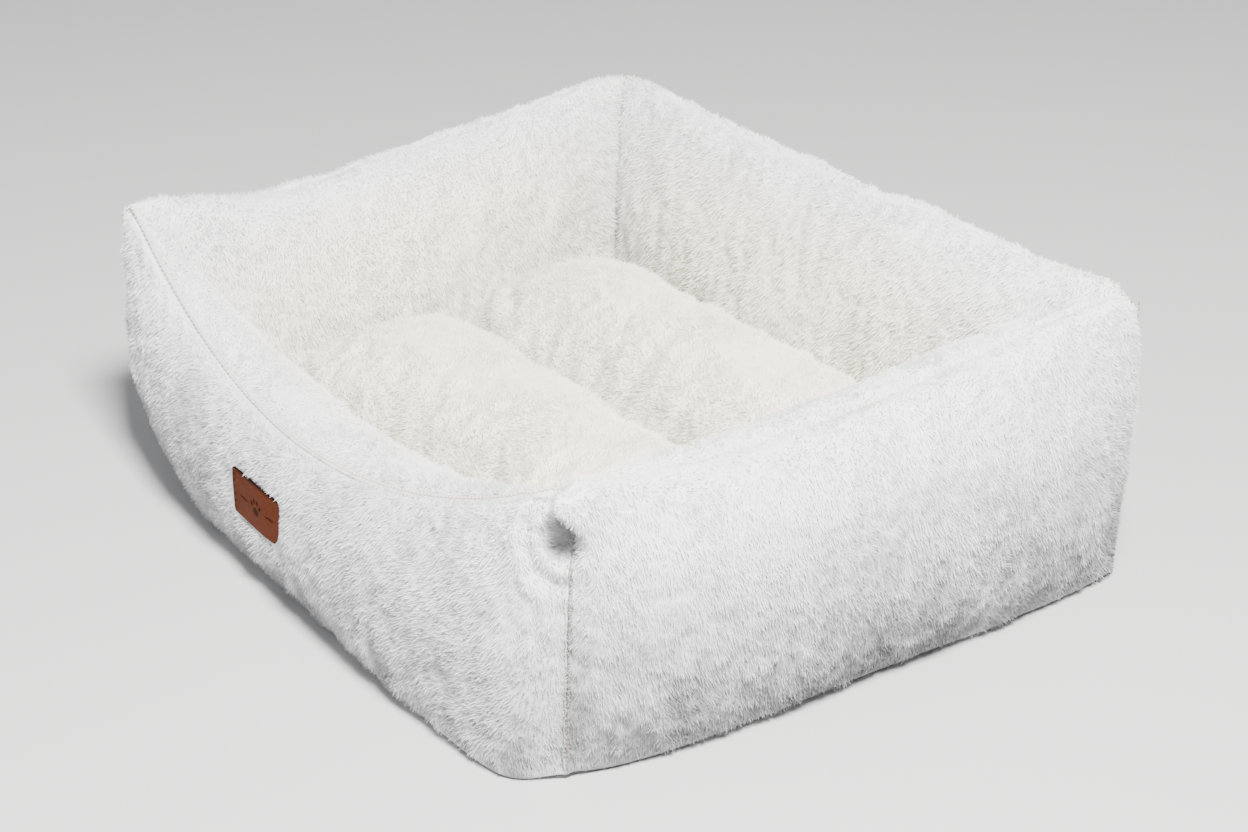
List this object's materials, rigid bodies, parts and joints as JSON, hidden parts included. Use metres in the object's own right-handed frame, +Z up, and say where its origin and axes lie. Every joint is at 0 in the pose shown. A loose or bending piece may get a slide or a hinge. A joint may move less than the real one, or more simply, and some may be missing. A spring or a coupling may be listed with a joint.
{
  "type": "pet cushion bed",
  "caption": "Rectangular plush pet bed with stuffed walls, a dipped front, corner seams, a leather tag and a loose zipped seat cushion with a sewn channel.",
  "frame": {"origin": "on the floor, under the middle of the bed", "axes": "+Z up, -Y out of the dipped front with the tag, +X to the right of someone who faces the front"},
  "size_m": [0.6144, 0.5041, 0.2163],
  "materials": {
    "wall_plush": "short plush pile, off-white",
    "cushion_plush": "short plush pile, warm off-white",
    "fibre_fill": "loose polyester fibre, matt white",
    "grip_fabric": "woven non-slip cloth with small rubber dots",
    "seam_binding": "folded and sewn seam allowance, matt",
    "tag_leather": "smooth reddish-brown leather with a debossed figure",
    "tag_thread": "dark brown thread",
    "cushion_thread": "off-white thread",
    "zip_tape": "woven tape, off-white",
    "zip_coil": "off-white nylon coil",
    "zip_metal": "satin nickel plate"
  },
  "bodies": {
    "bed": {"base_bottom_panel": "grip_fabric", "base_padding": "fibre_fill", "base_top_panel": "cushion_plush", "front_inner_panel": "wall_plush", "front_left_corner_seam": "seam_binding", "front_outer_panel": "wall_plush", "front_right_corner_seam": "seam_binding", "front_wall_filling": "fibre_fill", "leather_tag": "tag_leather", "left_inner_panel": "wall_plush", "left_outer_panel": "wall_plush", "left_wall_filling": "fibre_fill", "rear_inner_panel": "wall_plush", "rear_left_corner_seam": "seam_binding", "rear_outer_panel": "wall_plush", "rear_right_corner_seam": "seam_binding", "rear_wall_filling": "fibre_fill", "right_inner_panel": "wall_plush", "right_outer_panel": "wall_plush", "right_wall_filling": "fibre_fill", "tag_stitching": "tag_thread"},
    "cushion": {"channel_stitching": "cushion_thread", "cushion_bottom_panel": "cushion_plush", "cushion_top_panel": "cushion_plush", "front_lobe_filling": "fibre_fill", "rear_lobe_filling": "fibre_fill", "zip_bottom_stop": "zip_metal", "zip_lower_coil": "zip_coil", "zip_lower_tape": "zip_tape", "zip_top_stops": "zip_metal", "zip_upper_coil": "zip_coil", "zip_upper_tape": "zip_tape"},
    "slider": {"zip_slider": "zip_metal"}
  },
  "joints": [
    {"name": "cushion_lift", "type": "slide", "parent": "bed", "child": "cushion", "axis": [0, 0, 1], "range_m": [0, 0.26]},
    {"name": "zip_travel", "type": "slide", "parent": "cushion", "child": "slider", "axis": [-1, 0, 0], "range_m": [0, 0.229]}
  ]
}
